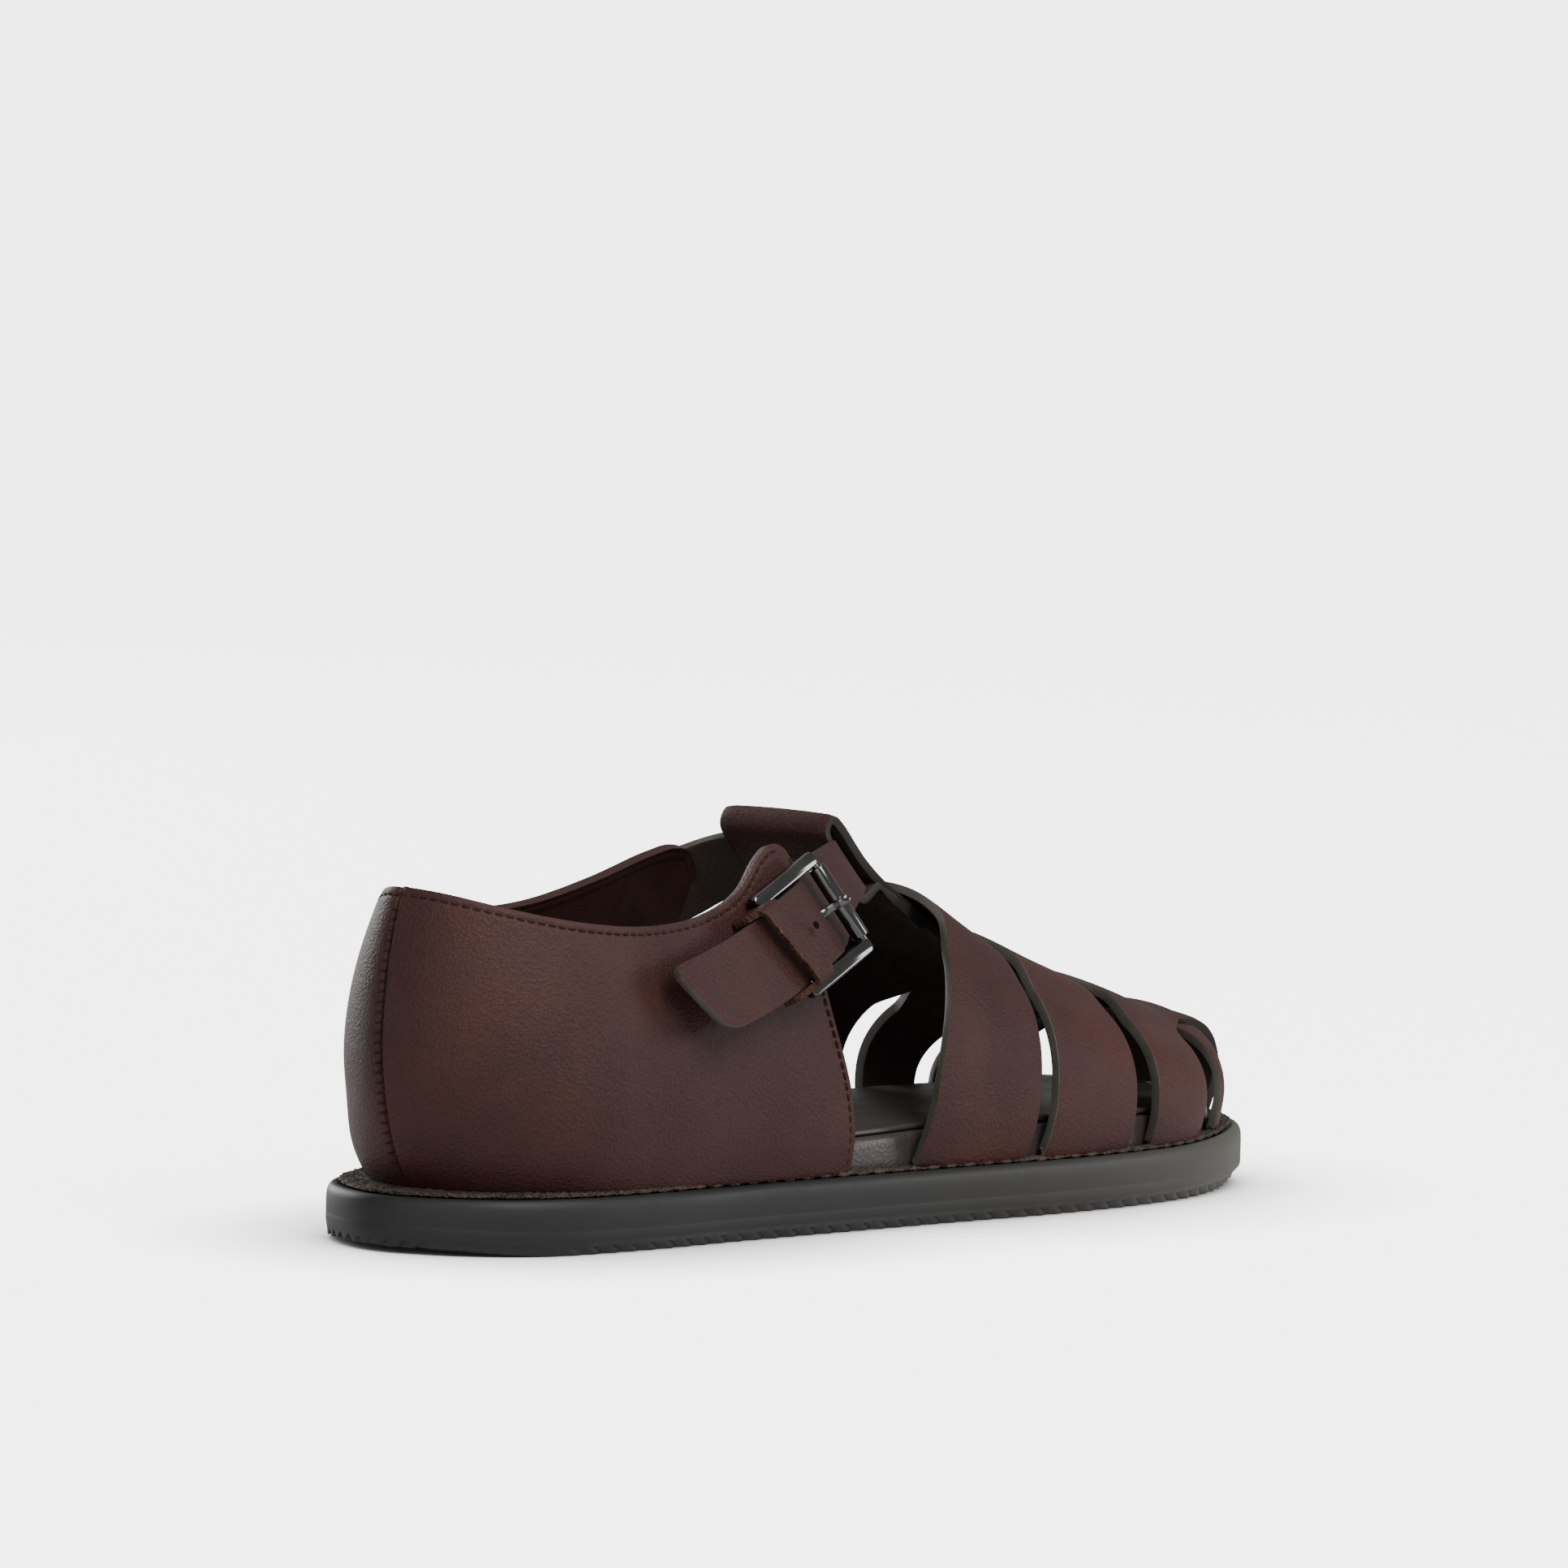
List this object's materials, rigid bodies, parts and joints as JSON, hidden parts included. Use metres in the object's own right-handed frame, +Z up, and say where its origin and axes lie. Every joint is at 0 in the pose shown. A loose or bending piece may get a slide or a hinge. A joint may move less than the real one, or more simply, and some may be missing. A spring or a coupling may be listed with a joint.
{
  "type": "fisherman sandal",
  "caption": "Flat closed-heel leather fisherman sandal for a right foot: hollow quarter, crossing vamp straps over a T-strap, buckled ankle strap, ripple rubber sole.",
  "frame": {"origin": "centre of the bounding box in X and Y, on the floor under the sole", "axes": "+X to the toe, +Y to the inner side of the foot, +Z up"},
  "size_m": [0.3, 0.103, 0.0958],
  "materials": {
    "sole_rubber": "matt dark grey moulded rubber",
    "welt_leather": "raw rough edge, dark brown",
    "footbed_leather": "grained, half gloss, dark grey-brown",
    "insole_leather": "smooth, matt, dark olive-grey",
    "upper_leather": "dark brown pull-up leather, satin, fine grain",
    "buckle_metal": "polished gunmetal plating"
  },
  "bodies": {
    "root": {"outsole": "sole_rubber", "welt": "welt_leather", "footbed": "footbed_leather", "insole": "insole_leather", "upper_quarter": "upper_leather", "upper_vamp": "upper_leather", "ankle_strap": "upper_leather", "keeper_loop": "upper_leather", "buckle_tab": "upper_leather", "buckle_frame": "buckle_metal", "buckle_roller": "buckle_metal", "buckle_prong": "buckle_metal"}
  },
  "joints": []
}
